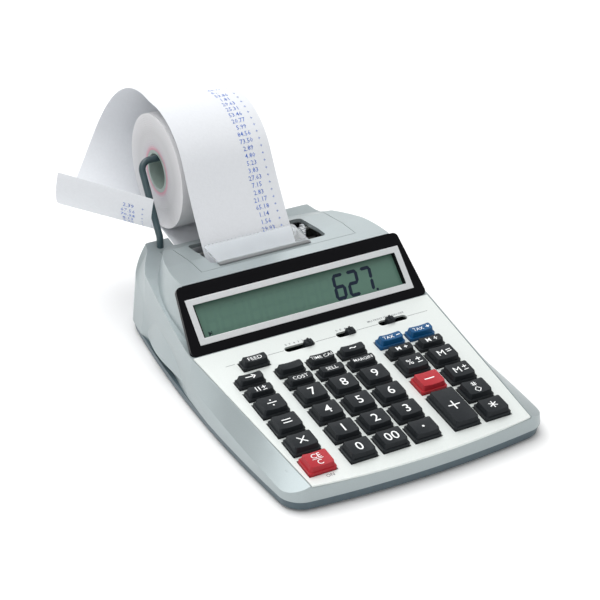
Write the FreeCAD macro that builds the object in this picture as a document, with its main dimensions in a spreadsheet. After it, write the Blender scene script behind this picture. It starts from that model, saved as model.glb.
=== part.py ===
"""Desk printing calculator: silver case, tilted key field, display hood, paper roll on a wire arm.

Millimetres. X runs to the right, Y to the back and Z up. The origin is on the desk, under the
middle of the four feet.
"""
import FreeCAD, Part
import math
import os

V = FreeCAD.Vector
doc = FreeCAD.newDocument("desk_calculator")

# Driving dimensions ---------------------------------------------------------------------------
SIZES = {
    # casing outline, seen from above
    "case_front": 110.5,
    "case_rear": 114.5,
    "front_half_width": 78.2,
    "rear_half_width": 64.5,
    "side_bulge": 6.6,
    "front_bow": 5.5,
    "corner_bend": 13.0,
    "case_wall": 2.4,
    # casing heights
    "foot_gap": 1.5,
    "base_top": 6.5,
    "base_undercut": 1.2,
    "wall_top": 52.0,
    "wall_lean": 3.6,
    "seam_front": 9.5,
    "seam_middle": 23.4,
    "seam_rear": 40.0,
    "shell_gap": 0.3,
    # tilted deck
    "deck_tilt": 8.34,
    "deck_height": 32.0,
    "hood_foot": 8.6,
    "deck_half_front": 67.0,
    "deck_half_rear": 75.2,
    "deck_length": 120.0,
    "deck_bow": 4.4,
    "plate_thick": 1.2,
    "plate_ledge": 1.2,
    # display hood and printer housing
    "hood_half_width": 75.4,
    "hood_straight": 42.0,
    "hood_rear": 110.0,
    "hood_rear_half": 51.0,
    "hood_lean": 5.6,
    "hood_height": 60.6,
    "hood_flat": 62.0,
    "roof_back": 84.0,
    "roof_back_height": 58.0,
    "roof_edge": 104.0,
    "roof_edge_height": 49.8,
    # bezel and display
    "bezel_slope": 45.0,
    "bezel_length": 39.6,
    "bezel_half_low": 74.6,
    "bezel_half_high": 70.2,
    "bezel_thick": 2.6,
    "bezel_margin": 0.6,
    "window_low": 7.4,
    "window_height": 22.2,
    "window_half": 63.4,
    "lcd_thick": 2.8,
    "lcd_overlap": 2.5,
    # key field
    "column_pitch": 19.2,
    "row_pitch": 16.23,
    "side_column_step": 24.15,
    "grid_shift": -12.6,
    "grid_to_hood": 78.7,
    "key_width": 16.0,
    "key_depth": 13.2,
    "slim_depth": 7.6,
    "skirt_rise": 1.7,
    "cap_rise": 5.2,
    "cap_step": 0.7,
    "cap_draft": 0.7,
    "scoop_bend": 34.0,
    "key_gap": 0.35,
    "key_travel": 2.5,
    "key_lip": 0.9,
    "key_lip_thick": 1.2,
    "stem_half": 2.2,
    "slim_row_low": 37.2,
    "slim_row_high": 48.0,
    "feed_row": 61.3,
    "slider_row": 65.5,
    # slide switches
    "slot_depth": 4.4,
    "knob_width": 4.6,
    "knob_rise": 2.2,
    "knob_end_gap": 1.5,
    # electronics
    "membrane_thick": 1.2,
    "board_thick": 1.6,
    "board_half": 61.0,
    # paper
    "paper_width": 57.0,
    "paper_centre": -8.1,
    "paper_thick": 0.25,
    "roll_bend": 34.0,
    "core_outer": 12.7,
    "core_inner": 10.5,
    "roll_y": 128.4,
    "roll_z": 86.0,
    "wire_radius": 2.0,
    "arm_side": -47.0,
    "arm_foot_y": 105.0,
    # printer
    "opening_left": -40.0,
    "opening_right": 33.5,
    "opening_front": 53.0,
    "opening_back": 84.0,
    "cover_half": 49.0,
    "cover_front": 47.0,
    "cover_back": 100.0,
    "feed_bend": 6.0,
    "wheel_bend": 6.2,
    "ink_bend": 4.2,
    "axle_bend": 1.5,
    "axle_gap": 0.05,
    # fasteners and feet
    "foot_bend": 6.0,
    "foot_height": 2.2,
    "screw_bend": 1.4,
    "screw_head": 2.8,
    "deck_border": 0.9,
    "bezel_corner": 3.0,
    "cover_low": 42.0,
    "slot_run": 16.0,
    "slot_y": 103.5,
    "jack_bend": 4.0,
    "jack_inner": 2.9,
    "jack_run": 12.0,
    "jack_x": 34.0,
    "jack_z": 18.0,
    "jack_setback": 4.0,
    "ledge_thick": 1.4,
    "post_bend": 3.0,
    "post_x_front": 68.5,
    "post_y_front": -88.0,
    "post_x_middle": 68.8,
    "post_y_middle": -40.0,
    "post_x_rear": 54.0,
    "post_y_rear": 98.0,
    "screw_length": 8.0,
    "head_depth": 2.4,
    "opening_corner": 2.5,
    "base_step": 0.4,
    "frame_floor": 12.0,
    "foot_x_front": 60.0,
    "foot_y_front": -84.0,
    "foot_x_rear": 48.0,
    "foot_y_rear": 84.0,
    "feed_shift": 9.5,
    "slot_1_middle": -16.2,
    "slot_1_run": 18.4,
    "slot_2_middle": 13.2,
    "slot_2_run": 12.4,
    "slot_3_middle": 43.3,
    "slot_3_run": 18.2,
    "key_corner": 1.4,
    "cap_corner": 1.1,
    "scoop_dip": 0.8,
    "stem_drop": 1.6,
    "board_run": 104.0,
    "board_middle": 18.0,
    "exit_lean": 35.0,
    "exit_y": 69.0,
    "exit_z": 58.0,
    "exit_run": 10.0,
    "paper_gap": 0.45,
    "frame_left": -44.0,
    "frame_right": 38.0,
    "frame_front": 40.0,
    "frame_back": 88.0,
    "frame_rise": 42.0,
    "frame_sheet": 1.5,
    "ring_run": 2.2,
    "ring_pitch": 3.4,
    "stand_side": 6.0,
    "stand_left": -34.0,
    "stand_right": 30.0,
    "stand_front": 50.0,
    "stand_rear": 80.0,
    "ink_turn": 20.0,
    "motor_y": 56.0,
    "motor_bend": 9.0,
    "motor_run": 30.0,
    "tooth_pitch": 2.4,
    "tooth_height": 1.4,
    "bar_run": 20.0,
    "bar_foot": 3.5,
    "bar_setback": 4.5,
    "bar_slope": 6.0,
    "bar_thick": 1.0,
    "arm_low": 30.0,
    "arm_bend_z": 56.0,
    "arm_bend": 6.0,
}

sheet = doc.addObject("Spreadsheet::Sheet", "dims")
for row, (alias, number) in enumerate(SIZES.items(), start=1):
    sheet.set("A%d" % row, alias)
    sheet.set("B%d" % row, str(number))
    sheet.setAlias("B%d" % row, alias)
doc.recompute()


class Size:
    """A size taken from the sheet: its number, and the formula that a property is bound to."""

    def __init__(self, number, formula):
        self.number = number
        self.formula = formula

    def join(self, other, sign, number):
        formula = other.formula if isinstance(other, Size) else repr(other)
        return Size(number, "(%s %s %s)" % (self.formula, sign, formula))

    def __float__(self):
        return float(self.number)

    def __add__(self, other):
        return self.join(other, "+", self.number + float(other))

    def __sub__(self, other):
        return self.join(other, "-", self.number - float(other))

    def __mul__(self, other):
        return self.join(other, "*", self.number * float(other))

    def __truediv__(self, other):
        return self.join(other, "/", self.number / float(other))

    def __neg__(self):
        return self * -1

    __radd__ = __add__
    __rmul__ = __mul__

    def __rsub__(self, other):
        return (-self) + other


def size(alias):
    """The named size as a Size."""
    return Size(float(sheet.get(alias)), "dims." + alias)


def num(alias):
    """The named size as a plain number."""
    return float(sheet.get(alias))


pieces = []


def piece(item, name, placement=None):
    """Name a finished piece and put it in its place."""
    item.Label = name
    if placement is not None:
        item.Placement = placement
    pieces.append(item)
    return item


def bind(item, **sizes):
    """Set the item's sizes, bound to the sheet where they come from it."""
    for name, value in sizes.items():
        setattr(item, name, float(value))
        if isinstance(value, Size):
            item.setExpression(name, value.formula)


def box(name, length, width, height, x, y, z):
    """A box centred on x and y, with its lowest face at z."""
    item = doc.addObject("Part::Box", name)
    bind(item, Length=length, Width=width, Height=height)
    item.Placement.Base = V(float(x) - float(length) / 2, float(y) - float(width) / 2, float(z))
    return item


def rod(name, radius, length, start, axis):
    """A cylinder from the point start along an axis."""
    item = doc.addObject("Part::Cylinder", name)
    bind(item, Radius=radius, Height=length)
    item.Placement = FreeCAD.Placement(V(*[float(c) for c in start]), FreeCAD.Rotation(V(0, 0, 1), V(*axis)))
    return item


def cut(name, base, tool):
    item = doc.addObject("Part::Cut", name)
    item.Base = base
    item.Tool = tool
    return item


def common(name, first, second):
    item = doc.addObject("Part::Common", name)
    item.Base = first
    item.Tool = second
    return item


def fuse(name, shapes):
    item = doc.addObject("Part::MultiFuse", name)
    item.Shapes = shapes
    return item


def group(name, shapes):
    """Separate solids kept as one piece, for fasteners and feet."""
    item = doc.addObject("Part::Compound", name)
    item.Links = shapes
    return item


def formed(name, shape):
    """A shape worked out from the sheet with Part's own functions."""
    item = doc.addObject("Part::Feature", name)
    item.Shape = shape
    return item


def round_edges(name, base, radius, chosen):
    """Fillet the edges of the base that the test chooses."""
    doc.recompute()
    item = doc.addObject("Part::Fillet", name)
    item.Base = base
    edges = [i for i, edge in enumerate(base.Shape.Edges, start=1) if chosen(edge)]
    item.Edges = [(i, float(radius), float(radius)) for i in edges]
    return item


def upright(edge):
    """True for a straight edge that runs nearly along Z."""
    if len(edge.Vertexes) < 2:
        return False
    run = edge.Vertexes[1].Point - edge.Vertexes[0].Point
    return run.Length > 0 and abs(run.z) > 0.9 * run.Length


def polygon(points):
    """A flat face with straight sides."""
    return Part.Face(Part.makePolygon(points + [points[0]]))


def arc(start, middle, end):
    return Part.Arc(start, middle, end).toShape()


def line(start, end):
    return Part.LineSegment(start, end).toShape()


# Frames of the deck and of the bezel ------------------------------------------------------------
tilt = math.radians(num("deck_tilt"))
slope = math.radians(num("bezel_slope"))
hood_foot = V(0, num("hood_foot"), num("deck_height"))
along_deck = V(0, math.cos(tilt), math.sin(tilt))
deck_frame = FreeCAD.Placement(
    hood_foot - along_deck * num("grid_to_hood"), FreeCAD.Rotation(V(1, 0, 0), num("deck_tilt"))
)
bezel_frame = FreeCAD.Placement(hood_foot, FreeCAD.Rotation(V(1, 0, 0), num("bezel_slope")))


def on_deck(x, along, up=0.0):
    """Placement of a piece drawn about its own origin, at a place on the deck."""
    return deck_frame.multiply(FreeCAD.Placement(V(float(x), float(along), float(up)), FreeCAD.Rotation()))


def deck_z(y):
    """Height of the deck surface over a point of the desk."""
    return num("deck_height") - (num("hood_foot") - y) * math.tan(tilt)


# Casing shells ----------------------------------------------------------------------------------
FAR = 200.0  # longer than any part of the casing, for cutting shapes


def case_outline(inset, z):
    """Plan outline of the case: bowed front and sides, rounded corners."""
    front, rear = -num("case_front"), num("case_rear")
    wide, narrow = num("front_half_width"), num("rear_half_width")
    corner = front + num("front_bow")
    middle = (wide + narrow) / 2 + num("side_bulge")
    half = (corner + rear) / 2
    edges = [
        arc(V(-wide, corner, z), V(0, front, z), V(wide, corner, z)),
        arc(V(wide, corner, z), V(middle, half, z), V(narrow, rear, z)),
        line(V(narrow, rear, z), V(-narrow, rear, z)),
        arc(V(-narrow, rear, z), V(-middle, half, z), V(-wide, corner, z)),
    ]
    sharp = Part.Wire(edges)
    bend = num("corner_bend")
    return sharp.makeOffset2D(-inset - bend).makeOffset2D(bend)


def tapered(low_inset, low_z, high_inset, high_z):
    """Solid between two insets of the case outline."""
    return Part.makeLoft([case_outline(low_inset, low_z), case_outline(high_inset, high_z)], True, True)


def seam_point(side, y, z, out):
    """Point of the seam line, or that far outside it."""
    front, rear = -num("case_front"), num("case_rear")
    share = (y - front) / (rear - front)
    half = num("front_half_width") * (1 - share) + num("rear_half_width") * share
    half += 4 * num("side_bulge") * share * (1 - share)
    half -= num("wall_lean") * (z - num("base_top")) / (num("wall_top") - num("base_top"))
    return V(side * (half + out), y, z)


def crest_half(y):
    """Half width of the crest where the shoulder meets the deck or the hood."""
    foot, rear = num("hood_foot"), num("roof_edge")
    if y <= foot:
        share = (foot - y) / (num("case_front") - num("front_bow") + foot)
        return num("deck_half_rear") * (1 - share) + num("deck_half_front") * share
    straight, last = num("hood_straight"), num("hood_rear_half")
    if y <= straight:
        return num("deck_half_rear")
    drop = num("deck_half_rear") - last
    run = num("hood_rear") - straight
    bend = (drop * drop + run * run) / (2 * drop)
    return num("deck_half_rear") - bend + math.sqrt(bend * bend - min(y - straight, run) ** 2)


def roof_z(y):
    """Height of the lower body's top, without the hood."""
    if y <= num("hood_foot"):
        return deck_z(y)
    share = (y - num("hood_foot")) / (num("roof_edge") - num("hood_foot"))
    return num("deck_height") + share * (num("roof_edge_height") - num("deck_height"))


def seam_z(y):
    """Height of the seam: a straight climb, then a sweep up to the rear corner."""
    foot, front, rear = num("hood_foot"), -num("case_front"), num("case_rear")
    if y <= foot:
        return num("seam_front") + (num("seam_middle") - num("seam_front")) * (y - front) / (foot - front)
    share = (y - foot) / (rear - foot)
    climb = (num("seam_middle") - num("seam_front")) / (foot - front) * (rear - foot) * 0.45
    return num("seam_middle") + climb * share + (num("seam_rear") - num("seam_middle") - climb) * share**5


def body_section(y, drop, floor):
    """Section across the case: flat top between the crests, then the shoulders sloping out."""
    top = V(crest_half(y) - drop * 0.4, y, roof_z(y) - drop)
    seam = seam_point(1, y, seam_z(y), -drop * 0.4) - V(0, 0, drop)
    outer = seam + (seam - top) * 0.8
    right = [V(top.x, y, top.z), V(outer.x, y, outer.z), V(outer.x, y, floor)]
    left = [V(-point.x, y, point.z) for point in reversed(right)]
    return Part.makePolygon(right + left + [right[0]])


def shoulder_body(drop, floor):
    """The lower body's top and shoulders, front and rear of the hood's foot."""
    front, foot = -num("case_front") - 4, num("hood_foot")
    edge, rear = num("roof_edge"), num("case_rear") + 4
    steps = 5
    stations = [foot + (edge - foot) * i / steps for i in range(steps + 1)]
    flat = Part.makeLoft([body_section(y, drop, floor) for y in (front, foot)], True, True)
    curved = Part.makeLoft([body_section(y, drop, floor) for y in stations], True, False)
    last = Part.makeLoft([body_section(y, drop, floor) for y in (edge, rear)], True, True)
    return flat.fuse([curved, last])


def hood_outline(inset, z):
    """Plan outline of the hood: straight beside the display, curving in to the rear."""
    wide, narrow = num("hood_half_width") - inset, num("hood_rear_half") - inset
    start, straight, rear = 0.0, num("hood_straight"), num("hood_rear") - inset
    drop, run = wide - narrow, rear - straight
    bend = (drop * drop + run * run) / (2 * drop)
    half_turn = math.atan2(run, bend - drop) / 2
    middle = V(wide - bend + bend * math.cos(half_turn), straight + bend * math.sin(half_turn), z)
    edges = [
        line(V(-wide, start, z), V(wide, start, z)),
        line(V(wide, start, z), V(wide, straight, z)),
        arc(V(wide, straight, z), middle, V(narrow, rear, z)),
        line(V(narrow, rear, z), V(-narrow, rear, z)),
        arc(V(-narrow, rear, z), V(-middle.x, middle.y, z), V(-wide, straight, z)),
        line(V(-wide, straight, z), V(-wide, start, z)),
    ]
    return Part.Wire(edges)


def hood_profile(drop):
    """Side profile of the hood, extruded across the case."""
    foot, top = num("hood_foot"), num("hood_height")
    shift = drop / math.sin(slope)
    run = (top - num("deck_height")) / math.tan(slope)
    below = num("deck_height") - num("base_top")
    rear = num("case_rear") - drop
    points = [
        V(-FAR, foot + shift - below / math.tan(slope), num("base_top")),
        V(-FAR, foot + shift + run - drop / math.tan(slope), top - drop),
        V(-FAR, num("hood_flat"), top - drop),
        V(-FAR, num("roof_back"), num("roof_back_height") - drop),
        V(-FAR, num("roof_edge"), num("roof_edge_height") - drop),
        V(-FAR, rear, num("seam_rear") - drop),
        V(-FAR, rear, num("base_top")),
    ]
    return polygon(points).extrude(V(2 * FAR, 0, 0))


def case_solid(drop):
    """The whole closed outer form, or the same form lying that far inside it."""
    low = num("base_top") - 2 * drop
    lean, high = num("wall_lean"), num("wall_top")
    body = tapered(drop, low, drop + lean, high).common(shoulder_body(drop, low - 1))
    hood_low, hood_high = num("base_top") + 5, num("hood_height") + 4
    hood_inset = drop + num("hood_lean") * (hood_high - hood_low) / (num("hood_height") - num("deck_height"))
    hood = Part.makeLoft([hood_outline(drop, hood_low), hood_outline(hood_inset, hood_high)], True, True)
    hood = hood.common(hood_profile(drop))
    return body.fuse(hood).removeSplitter()


outer_form = formed("case_outer", case_solid(0.0))
inner_form = formed("case_inner", case_solid(num("case_wall")))
shell = cut("case_shell", outer_form, inner_form)


def deck_face(inset):
    """Face on the deck plane, in the deck's frame: bowed in front, square at the hood's foot."""
    rear = num("grid_to_hood") - max(inset, 0.0)
    front = num("grid_to_hood") - num("deck_length") + inset
    low = num("deck_half_front") - num("deck_border") - inset
    high = num("deck_half_rear") - num("deck_border") - inset
    corner = front + num("deck_bow")
    edges = [
        arc(V(-low, corner, 0), V(0, front, 0), V(low, corner, 0)),
        line(V(low, corner, 0), V(high, rear, 0)),
        line(V(high, rear, 0), V(-high, rear, 0)),
        line(V(-high, rear, 0), V(-low, corner, 0)),
    ]
    return Part.Face(Part.Wire(edges))


def plate_on(name, face, thickness, frame, up=0.0):
    """A face in a tilted frame made solid downwards."""
    item = doc.addObject("Part::Extrusion", name)
    item.Base = formed(name + "_face", face)
    item.DirMode = "Custom"
    item.Dir = V(0, 0, -1)
    item.Solid = True
    bind(item, LengthFwd=thickness)
    item.Placement = frame.multiply(FreeCAD.Placement(V(0, 0, float(up)), FreeCAD.Rotation()))
    return item


def bezel_face(margin):
    """Face on the bezel's slope, narrower at its top edge, with small round corners."""
    low, high = num("bezel_half_low") + margin, num("bezel_half_high") + margin
    start = num("bezel_margin") - margin
    end = start + num("bezel_length") + 2 * margin
    corners = [V(-low, start, 0), V(low, start, 0), V(high, end, 0), V(-high, end, 0)]
    wire = Part.makePolygon(corners + [corners[0]])
    bend = num("bezel_corner")
    return Part.Face(wire.makeOffset2D(-bend).makeOffset2D(bend))


def window_face(margin):
    """Rectangle of the display window on the bezel's slope."""
    half = num("window_half") + margin
    low = num("window_low") - margin
    high = low + num("window_height") + 2 * margin
    return polygon([V(-half, low, 0), V(half, low, 0), V(half, high, 0), V(-half, high, 0)])


# Top cover
gap = num("shell_gap")
lcd_room = num("lcd_overlap") + gap
cover_middle = (num("cover_front") + num("cover_back")) / 2
cover_run = size("cover_back") - size("cover_front")
deck_pocket = plate_on("deck_pocket", deck_face(-gap), size("plate_thick") + 5, deck_frame, 5)
deck_opening = plate_on("deck_opening", deck_face(num("plate_ledge")), size("plate_thick") + 6, deck_frame, 1)
bezel_pocket = plate_on("bezel_pocket", bezel_face(gap), size("bezel_thick") + 5, bezel_frame, 5)
lcd_opening = plate_on("lcd_opening", window_face(lcd_room), size("bezel_thick") + 8, bezel_frame, 1)
printer_hole = box(
    "printer_hole", size("cover_half") * 2 + 2 * gap, cover_run + 2 * gap, 40, 0, cover_middle, num("cover_low")
)
slot_wide = size("paper_width") + 5
web_slot = box("web_slot", slot_wide, size("slot_run"), 30, num("paper_centre"), num("slot_y"), num("cover_low") - 2)
arm_bend = size("wire_radius") + size("axle_gap")
arm_hole = rod("arm_hole", arm_bend, 60, (num("arm_side"), num("arm_foot_y"), 20), (0, 0, 1))
jack_hole = rod(
    "jack_hole", size("jack_bend") + gap, 12, (num("jack_x"), num("case_rear") - 8, num("jack_z")), (0, 1, 0)
)
openings = fuse(
    "cover_openings",
    [deck_pocket, deck_opening, bezel_pocket, lcd_opening, printer_hole, web_slot, arm_hole, jack_hole],
)
open_shell = cut("open_shell", shell, openings)

# a ledge under the edge of the printer cover, and the screw posts
ledge_deep = num("case_wall") + num("ledge_thick")
ledge_skin = cut("ledge_skin", inner_form, formed("ledge_inner", case_solid(ledge_deep)))
ledge_out = box("ledge_out", size("cover_half") * 2 + 5, cover_run + 5, 40, 0, cover_middle, num("cover_low"))
ledge_in = box("ledge_in", size("cover_half") * 2 - 4, cover_run - 4, 44, 0, cover_middle, num("cover_low") - 2)
ledge = cut("ledge", common("ledge_band", ledge_skin, ledge_out), fuse("ledge_room", [ledge_in, web_slot]))

SCREW_PLACES = [(side * num(x), num(y)) for side in (-1, 1) for x, y in (
    ("post_x_front", "post_y_front"), ("post_x_middle", "post_y_middle"), ("post_x_rear", "post_y_rear"))]
post_foot = num("base_top") - 1.0
bore_bend = size("screw_bend") + size("axle_gap")
bore_deep = size("screw_length") + 1
posts = []
screw_bores = []
for i, (x, y) in enumerate(SCREW_PLACES):
    post_rise = roof_z(y) - 0.8 * num("case_wall") - post_foot
    posts.append(rod("post_%d" % i, size("post_bend"), post_rise, (x, y, post_foot), (0, 0, 1)))
    screw_bores.append(rod("post_bore_%d" % i, bore_bend, bore_deep, (x, y, post_foot - 1), (0, 0, 1)))
with_posts = fuse("with_posts", [open_shell, ledge] + posts)
piece(cut("top_cover_body", with_posts, fuse("post_bores", screw_bores)), "top_cover")

# Printer cover: the lift-off lid, cut from the same skin
lid_block = box("lid_block", size("cover_half") * 2, cover_run, 40, 0, cover_middle, num("cover_low"))
lid_skin = common("lid_skin", shell, lid_block)
opening_wide = size("opening_right") - size("opening_left")
opening_run = size("opening_back") - size("opening_front")
paper_opening = box(
    "paper_opening", opening_wide, opening_run, 60,
    (num("opening_left") + num("opening_right")) / 2, (num("opening_front") + num("opening_back")) / 2, 20,
)
opening_round = round_edges("opening_round", paper_opening, num("opening_corner"), upright)
piece(cut("printer_cover_body", lid_skin, opening_round), "printer_cover")

# Base cover: a dark pan with bosses for the screws
pan_outer = formed("pan_outer", tapered(num("base_undercut"), num("foot_gap"), num("base_step"), num("base_top")))
pan_wall = num("case_wall") + num("base_step")
floor_top = num("foot_gap") + num("case_wall")
pan_inner = formed("pan_inner", tapered(num("base_undercut") + pan_wall, floor_top, pan_wall, num("base_top") + 1))
boss_rise = size("base_top") - 1 - size("foot_gap")
bosses = [
    rod("boss_%d" % i, size("post_bend") + 1, boss_rise, (x, y, num("foot_gap")), (0, 0, 1))
    for i, (x, y) in enumerate(SCREW_PLACES)
]
stand_rise = size("frame_floor") - floor_top + 0.5
stands = [
    box("stand_" + x + y, size("stand_side"), size("stand_side"), stand_rise, num(x), num(y), floor_top - 0.5)
    for x in ("stand_left", "stand_right") for y in ("stand_front", "stand_rear")
]
pan = fuse("pan", [cut("pan_shell", pan_outer, pan_inner)] + bosses + stands)
head_depth = num("head_depth")
pan_holes = []
for i, (x, y) in enumerate(SCREW_PLACES):
    pan_holes.append(rod("shank_hole_%d" % i, size("screw_bend") + 0.2, 12, (x, y, 0), (0, 0, 1)))
    head_foot = (x, y, num("foot_gap"))
    pan_holes.append(rod("head_hole_%d" % i, size("screw_head") + 0.2, head_depth, head_foot, (0, 0, 1)))
FOOT_PLACES = [(side * num(x), num(y)) for side in (-1, 1) for x, y in (
    ("foot_x_front", "foot_y_front"), ("foot_x_rear", "foot_y_rear"))]
for i, (x, y) in enumerate(FOOT_PLACES):
    depth = size("foot_height") - size("foot_gap")
    pan_holes.append(rod("foot_pocket_%d" % i, size("foot_bend") + 0.1, depth, (x, y, num("foot_gap")), (0, 0, 1)))
piece(cut("base_cover_body", pan, fuse("pan_holes", pan_holes)), "base_cover")

feet = [
    rod("foot_%d" % i, size("foot_bend"), size("foot_height"), (x, y, 0), (0, 0, 1))
    for i, (x, y) in enumerate(FOOT_PLACES)
]
piece(group("feet_group", feet), "rubber_feet")
screws = []
for i, (x, y) in enumerate(SCREW_PLACES):
    top = num("foot_gap") + head_depth
    head = rod("head_%d" % i, size("screw_head"), head_depth - 0.6, (x, y, num("foot_gap") + 0.6), (0, 0, 1))
    shank = rod("shank_%d" % i, size("screw_bend"), size("screw_length"), (x, y, top - 0.1), (0, 0, 1))
    slot = box("cross_%d" % i, 3.2, 0.7, 1.4, x, y, num("foot_gap"))
    screws.append(cut("screw_%d" % i, fuse("screw_body_%d" % i, [head, shank]), slot))
piece(group("screw_group", screws), "case_screws")

# Key plate, keys and slide switches --------------------------------------------------------------
side = num("side_column_step")
pitch = num("column_pitch")
COLUMNS = [
    num("grid_shift") - pitch - side,
    num("grid_shift") - pitch,
    num("grid_shift"),
    num("grid_shift") + pitch,
    num("grid_shift") + pitch + side,
    num("grid_shift") + 2 * pitch + side,
]
step = num("row_pitch")
FULL_ROWS = [1.5 * step, 0.5 * step, -0.5 * step, -1.5 * step]
KEY_ROWS = [
    (num("slim_row_high"), "slim", ["right_arrow", "blank", "time_calc", "rate", "tax_minus", "tax_plus"]),
    (num("slim_row_low"), "slim", ["sign", "cost", "sell", "margin", "memory_add", "memory_divide"]),
    (FULL_ROWS[0], "full", ["divide", "7", "8", "9", "percent", "memory_total"]),
    (FULL_ROWS[1], "full", ["equals", "4", "5", "6", "minus", "memory_change"]),
    (FULL_ROWS[2], "full", ["multiply", "1", "2", "3", None, "item_count"]),
    (FULL_ROWS[3], "full", ["clear", "0", "00", "point", None, "total"]),
]
KEYS = [("feed", COLUMNS[0] + num("feed_shift"), num("feed_row"), size("slim_depth"))]
for along, kind, names in KEY_ROWS:
    depth = size("slim_depth") if kind == "slim" else size("key_depth")
    for column, name in enumerate(names):
        if name:
            KEYS.append((name, COLUMNS[column], along, depth))
tall = size("key_depth") + size("row_pitch")
KEYS.append(("plus", COLUMNS[4], (FULL_ROWS[2] + FULL_ROWS[3]) / 2, tall))

width = size("key_width")
hole_gap = 2 * size("key_gap")
key_holes = [
    box("hole_" + name, width + hole_gap, depth + hole_gap, 20, x, along, -10) for name, x, along, depth in KEYS
]
SLOTS = [("rounding", "slot_1_middle", "slot_1_run", 1), ("decimal", "slot_2_middle", "slot_2_run", 1),
         ("print", "slot_3_middle", "slot_3_run", -0.35)]
for name, middle, run, place in SLOTS:
    slot_box = box("slot_box_" + name, size(run), size("slot_depth"), 20, num(middle), num("slider_row"), -10)
    key_holes.append(round_edges("slot_" + name, slot_box, size("slot_depth") / 2 - 0.05, upright))
plate_blank = plate_on("plate_blank", deck_face(0.0), size("plate_thick"), FreeCAD.Placement())
piece(cut("key_plate_body", plate_blank, fuse("key_holes", key_holes)), "key_plate", deck_frame)


def make_key(name, x, along, depth):
    """A key: scooped cap on a stepped skirt, a stem, and a lip that holds it under the plate."""
    under = size("plate_thick") + size("shell_gap") / 2
    lip_low = under + size("key_lip_thick")
    skirt = box("skirt_" + name, width, depth, size("skirt_rise") + lip_low, 0, 0, -lip_low)
    skirt = round_edges("skirt_round_" + name, skirt, num("key_corner"), upright)
    lip_wide = width + 2 * size("key_lip") + hole_gap
    lip = box("lip_" + name, lip_wide, depth * 0.5, size("key_lip_thick"), 0, 0, -lip_low)
    stem_wide = size("stem_half") * 2
    stem = box("stem_" + name, stem_wide, stem_wide, size("stem_drop"), 0, 0, -lip_low - size("stem_drop"))
    cap = doc.addObject("Part::Wedge", "cap_" + name)
    half_x = width / 2 - size("cap_step")
    half_y = depth / 2 - size("cap_step")
    draft = size("cap_draft")
    bind(cap, Xmin=-half_x, Xmax=half_x, X2min=-half_x + draft, X2max=half_x - draft)
    bind(cap, Zmin=-half_y, Zmax=half_y, Z2min=-half_y + draft, Z2max=half_y - draft)
    bind(cap, Ymin=size("skirt_rise") - 0.2, Ymax=size("cap_rise"))
    cap.Placement = FreeCAD.Placement(V(0, 0, 0), FreeCAD.Rotation(V(1, 0, 0), 90))
    scoop_bend = num("scoop_bend")
    low = num("cap_rise") - num("scoop_dip")
    scoop = rod("scoop_" + name, scoop_bend, 60, (0, -30, low + scoop_bend), (0, 1, 0))
    scooped = cut("scooped_" + name, cap, scoop)
    capped = round_edges("capped_" + name, scooped, num("cap_corner"), leaning)
    body = fuse("key_body_" + name, [skirt, lip, stem, capped])
    piece(body, "key_" + name, on_deck(x, along))


def leaning(edge):
    """True for the cap's four corner edges, which rise with the draft."""
    ends = [vertex.Point for vertex in edge.Vertexes]
    if len(ends) < 2 or edge.Curve.TypeId != "Part::GeomLine":
        return False
    run = ends[1] - ends[0]
    return abs(run.z) > 0.8 * run.Length


for key in KEYS:
    make_key(*key)

for name, middle, run, place in SLOTS:
    knob_wide = size("knob_width")
    travel = num(run) - num("knob_width") - 2 * num("knob_end_gap")
    deep = size("plate_thick") + size("shell_gap") / 2
    knob = box("knob_top_" + name, knob_wide, size("slot_depth") - 0.6, size("knob_rise") + deep, 0, 0, -deep)
    ridge = box("knob_ridge_" + name, 1.0, size("slot_depth") - 0.6, 0.9, 0, 0, num("knob_rise") - 0.1)
    foot = box("knob_foot_" + name, knob_wide, size("slot_depth") + 2.4, 1.2, 0, 0, -deep - 1.2)
    body = fuse("knob_" + name, [knob, ridge, foot])
    piece(body, "switch_knob_" + name, on_deck(num(middle) + place * travel / 2, num("slider_row")))

# Electronics -------------------------------------------------------------------------------------
stem_tip = num("plate_thick") + num("shell_gap") / 2 + num("key_lip_thick") + num("stem_drop")
membrane_top = stem_tip + num("key_travel") + num("shell_gap")
board_top = membrane_top + num("membrane_thick")
membrane_run = num("slim_row_high") - FULL_ROWS[3] + 14
membrane_middle = (num("slim_row_high") + FULL_ROWS[3]) / 2
board_run = num("board_run")
board_middle = num("board_middle")
membrane = box("membrane_sheet", size("board_half") * 2 - 6, membrane_run, size("membrane_thick"), 0, 0, 0)
piece(membrane, "key_membrane", on_deck(-num("board_half") + 3, membrane_middle - membrane_run / 2, -board_top))
board = box("board_sheet", size("board_half") * 2, size("board_run"), size("board_thick"), 0, 0, 0)
board_low = board_top + num("board_thick")
piece(board, "main_board", on_deck(-num("board_half"), board_middle - board_run / 2, -board_low))

# Display -----------------------------------------------------------------------------------------
bezel_blank = plate_on("bezel_blank", bezel_face(0.0), size("bezel_thick"), FreeCAD.Placement())
window_hole = plate_on("window_hole", window_face(0.0), 20, FreeCAD.Placement(), 10)
piece(cut("bezel_body", bezel_blank, window_hole), "display_bezel", bezel_frame)
lcd = plate_on("lcd_body", window_face(num("lcd_overlap")), size("lcd_thick"), bezel_frame, -num("bezel_thick"))
piece(lcd, "lcd_panel")

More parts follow.
